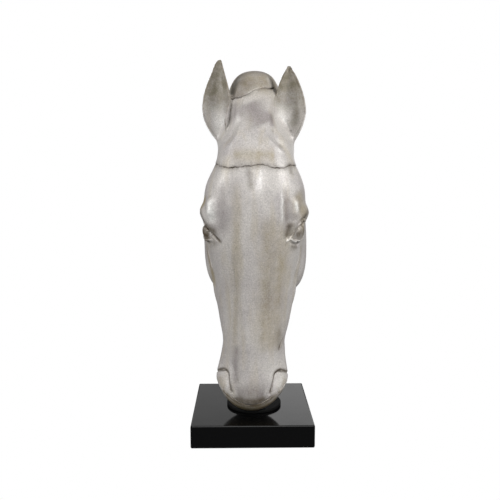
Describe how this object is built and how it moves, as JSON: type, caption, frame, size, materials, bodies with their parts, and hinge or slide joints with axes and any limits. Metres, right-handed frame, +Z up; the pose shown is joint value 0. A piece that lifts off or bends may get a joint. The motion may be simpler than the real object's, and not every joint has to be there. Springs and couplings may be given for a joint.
{
  "type": "horse head sculpture on a plinth",
  "caption": "Horse head sculpture standing nose down on a thin disc and a square polished plinth, with upright ears, lidded eyes, nostrils and a flat-cut neck.",
  "frame": {"origin": "middle of the plinth's underside", "axes": "+Z up, the face looks along -Y, +X is to the viewer's right"},
  "size_m": [0.2032, 0.2443, 0.6348],
  "materials": {
    "silver_leaf": "cast resin with aged silver leaf under a fine crackled lacquer, brown in its recesses",
    "black_disc": "matt black paint",
    "black_stone": "polished black stone"
  },
  "bodies": {
    "root": {"horse_head": "silver_leaf", "mounting_disc": "black_disc", "plinth": "black_stone"}
  },
  "joints": []
}
